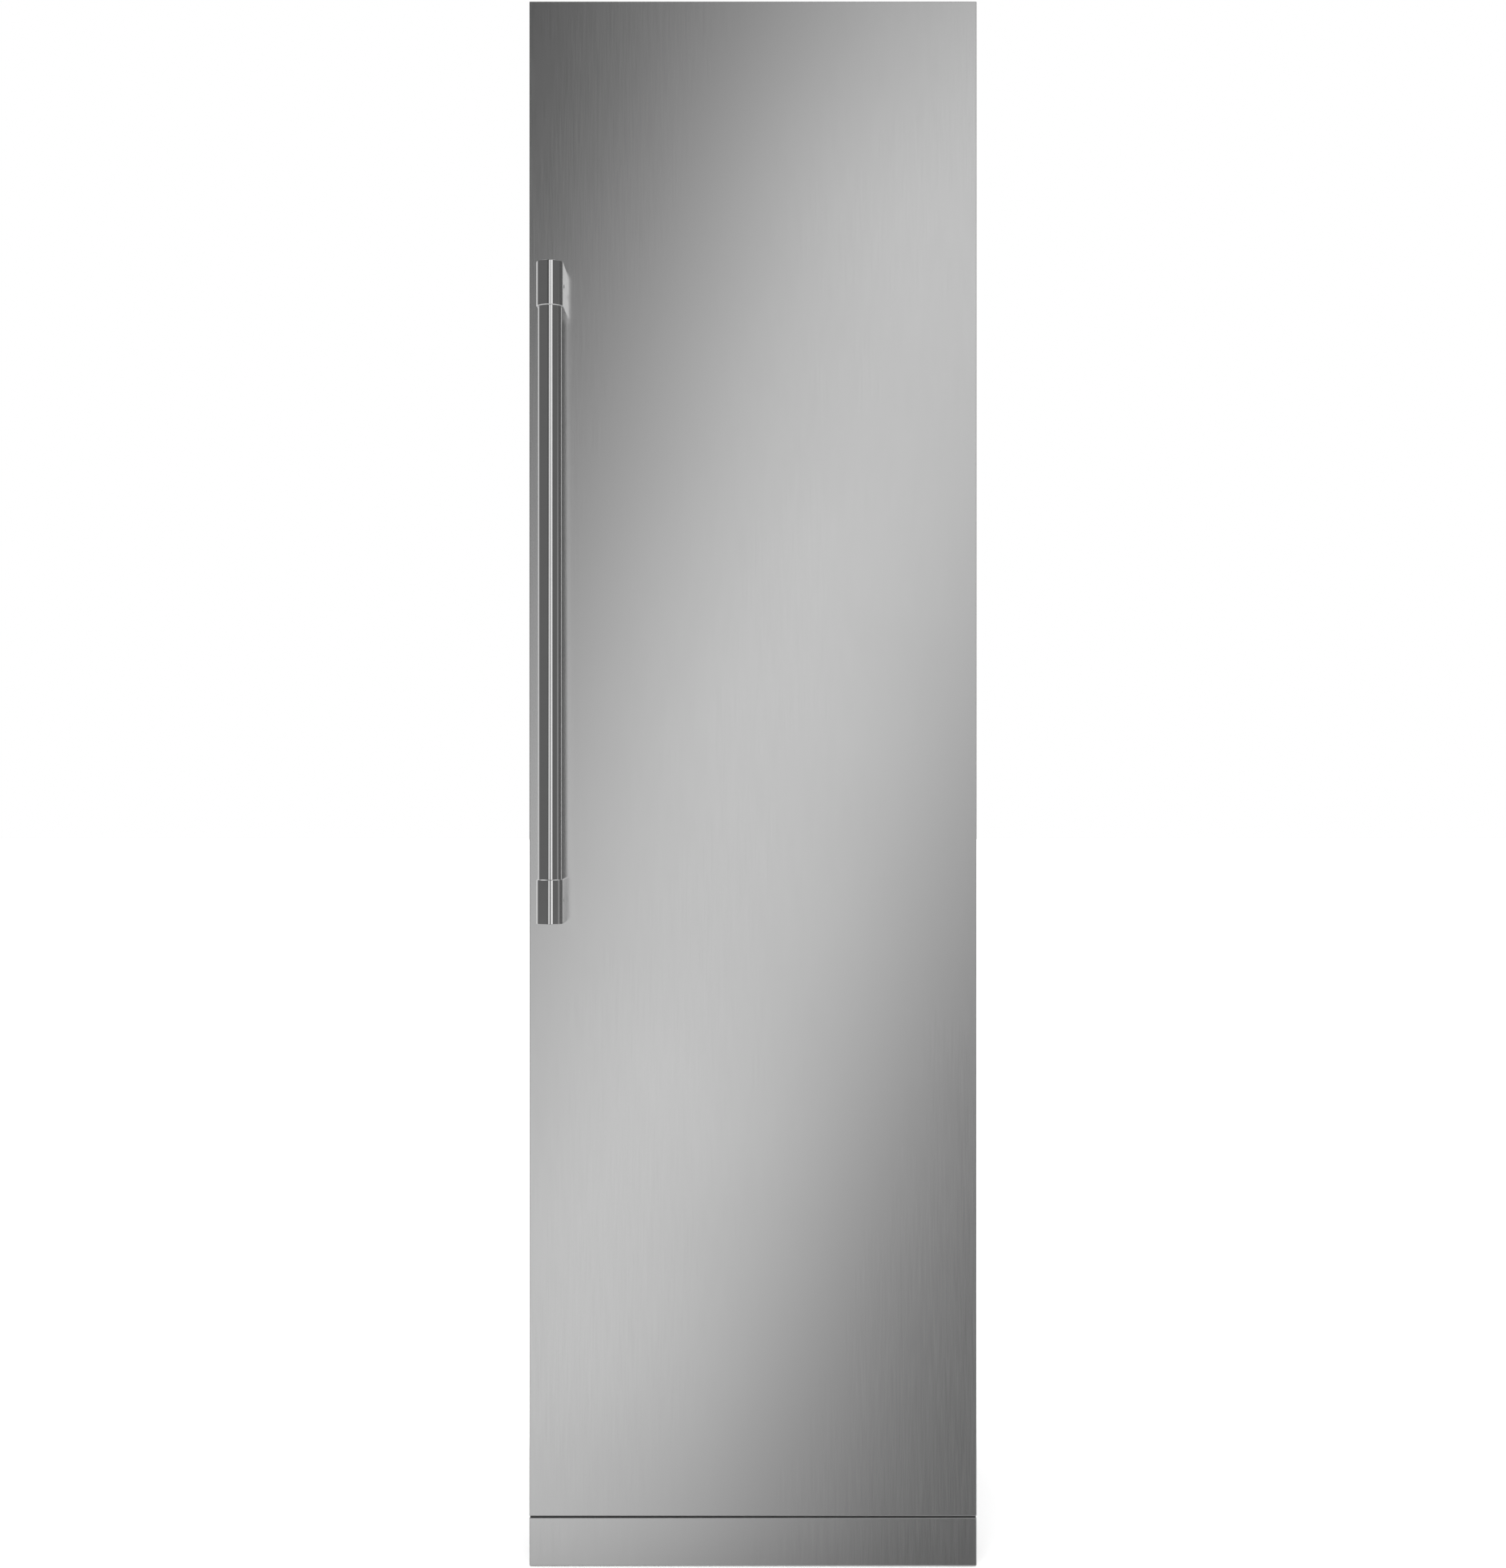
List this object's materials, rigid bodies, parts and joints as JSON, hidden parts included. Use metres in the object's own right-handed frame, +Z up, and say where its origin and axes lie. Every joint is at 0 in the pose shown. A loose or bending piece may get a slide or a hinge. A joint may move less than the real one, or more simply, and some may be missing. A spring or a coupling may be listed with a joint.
{
  "type": "built-in column refrigerator",
  "caption": "Tall built-in column refrigerator with a plain stainless door hinged on the right, a long bar handle on the left, glass shelves, drawers and door bins inside.",
  "frame": {"origin": "on the floor, under the middle of the overall box", "axes": "+Z up; the door faces -Y; +X is to the right as seen from the front, on the hinge side"},
  "size_m": [0.6096, 0.675, 2.1336],
  "materials": {
    "stainless": "fine brushed stainless steel",
    "polished": "polished stainless steel",
    "galvanised": "galvanised sheet",
    "painted": "grey powder coat",
    "black_steel": "black satin paint",
    "foam": "rigid polyurethane foam",
    "backing": "foamed core in a grey sheet",
    "white_plastic": "satin white moulding",
    "grey_plastic": "matte moulding",
    "black_plastic": "matte moulding",
    "rubber": "soft magnetic seal",
    "clear": "clear moulding",
    "glass": "tempered glass",
    "aluminium": "aluminium fins",
    "copper": "copper tube",
    "light": "light diffuser"
  },
  "bodies": {
    "cabinet": {"outer_shell": "painted", "insulation_foam": "foam", "inner_liner": "stainless", "base_frame": "galvanised", "machine_front_grille": "black_steel", "rear_service_cover": "galvanised", "power_inlet": "black_plastic", "toe_kick_panel": "stainless", "toe_kick_bracket": "galvanised", "compressor": "black_steel", "condenser_coil": "aluminium", "condenser_fan_shroud": "black_plastic", "drain_tray": "black_plastic", "control_box": "grey_plastic", "discharge_line": "copper", "evaporator_coil": "aluminium", "air_duct_cover": "stainless", "control_panel": "black_plastic", "light_strip_left": "light", "light_strip_right": "light", "shelf_frame_1": "stainless", "shelf_glass_1": "glass", "shelf_frame_2": "stainless", "shelf_glass_2": "glass", "shelf_frame_3": "stainless", "shelf_glass_3": "glass", "drawer_rail_left": "white_plastic", "drawer_rail_right": "white_plastic", "crisper_cover": "glass", "hinge_bracket_top": "galvanised", "hinge_bracket_bottom": "galvanised", "hinge_pin_top": "polished", "hinge_pin_bottom": "polished"},
    "drawer_lower": {"drawer_tub_lower": "clear", "drawer_front_lower": "clear"},
    "drawer_upper": {"drawer_tub_upper": "clear", "drawer_front_upper": "clear"},
    "humidity_slider": {"humidity_slider": "white_plastic"},
    "condenser_fan": {"condenser_fan_blade": "grey_plastic"},
    "evaporator_fan": {"evaporator_fan_blade": "grey_plastic"},
    "door": {"door_panel": "stainless", "door_core": "backing", "door_liner": "white_plastic", "door_rail_left": "white_plastic", "door_rail_right": "white_plastic", "door_gasket": "rubber", "hinge_bush_top": "white_plastic", "hinge_bush_bottom": "white_plastic", "handle_bar": "polished", "handle_end_top": "polished", "handle_end_bottom": "polished", "dairy_bin": "clear"},
    "door_bin_1": {"door_bin_1": "clear"},
    "door_bin_2": {"door_bin_2": "clear"},
    "door_bin_3": {"door_bin_3": "clear"},
    "dairy_lid": {"dairy_lid": "clear"},
    "foot_front_left": {"levelling_foot_front_left": "grey_plastic"},
    "foot_front_right": {"levelling_foot_front_right": "grey_plastic"},
    "foot_rear_left": {"levelling_foot_rear_left": "grey_plastic"},
    "foot_rear_right": {"levelling_foot_rear_right": "grey_plastic"}
  },
  "joints": [
    {"name": "door_hinge", "type": "hinge", "parent": "cabinet", "child": "door", "pos_m": [0.2878, -0.2275, 1.1], "axis": [0, 0, 1], "range_deg": [0, 115]},
    {"name": "drawer_lower_slide", "type": "slide", "parent": "cabinet", "child": "drawer_lower", "axis": [0, -1, 0], "range_m": [0, 0.07]},
    {"name": "drawer_upper_slide", "type": "slide", "parent": "cabinet", "child": "drawer_upper", "axis": [0, -1, 0], "range_m": [0, 0.07]},
    {"name": "humidity_slide", "type": "slide", "parent": "drawer_upper", "child": "humidity_slider", "axis": [1, 0, 0], "range_m": [-0.045, 0.045]},
    {"name": "dairy_lid_hinge", "type": "hinge", "parent": "door", "child": "dairy_lid", "pos_m": [0, -0.1925, 1.8425], "axis": [1, 0, 0], "range_deg": [0, 90]},
    {"name": "door_bin_1_lift", "type": "slide", "parent": "door", "child": "door_bin_1", "axis": [0, 0, 1], "range_m": [0, 0.02]},
    {"name": "door_bin_2_lift", "type": "slide", "parent": "door", "child": "door_bin_2", "axis": [0, 0, 1], "range_m": [0, 0.02]},
    {"name": "door_bin_3_lift", "type": "slide", "parent": "door", "child": "door_bin_3", "axis": [0, 0, 1], "range_m": [0, 0.02]},
    {"name": "condenser_fan_spin", "type": "hinge", "parent": "cabinet", "child": "condenser_fan", "pos_m": [0.11, -0.0976, 0.1143], "axis": [0, 1, 0], "continuous": true},
    {"name": "evaporator_fan_spin", "type": "hinge", "parent": "cabinet", "child": "evaporator_fan", "pos_m": [0, 0.2465, 1.092], "axis": [0, 1, 0], "continuous": true},
    {"name": "foot_front_left_height", "type": "slide", "parent": "cabinet", "child": "foot_front_left", "axis": [0, 0, -1], "range_m": [0, 0.025]},
    {"name": "foot_front_right_height", "type": "slide", "parent": "cabinet", "child": "foot_front_right", "axis": [0, 0, -1], "range_m": [0, 0.025]},
    {"name": "foot_rear_left_height", "type": "slide", "parent": "cabinet", "child": "foot_rear_left", "axis": [0, 0, -1], "range_m": [0, 0.025]},
    {"name": "foot_rear_right_height", "type": "slide", "parent": "cabinet", "child": "foot_rear_right", "axis": [0, 0, -1], "range_m": [0, 0.025]}
  ]
}
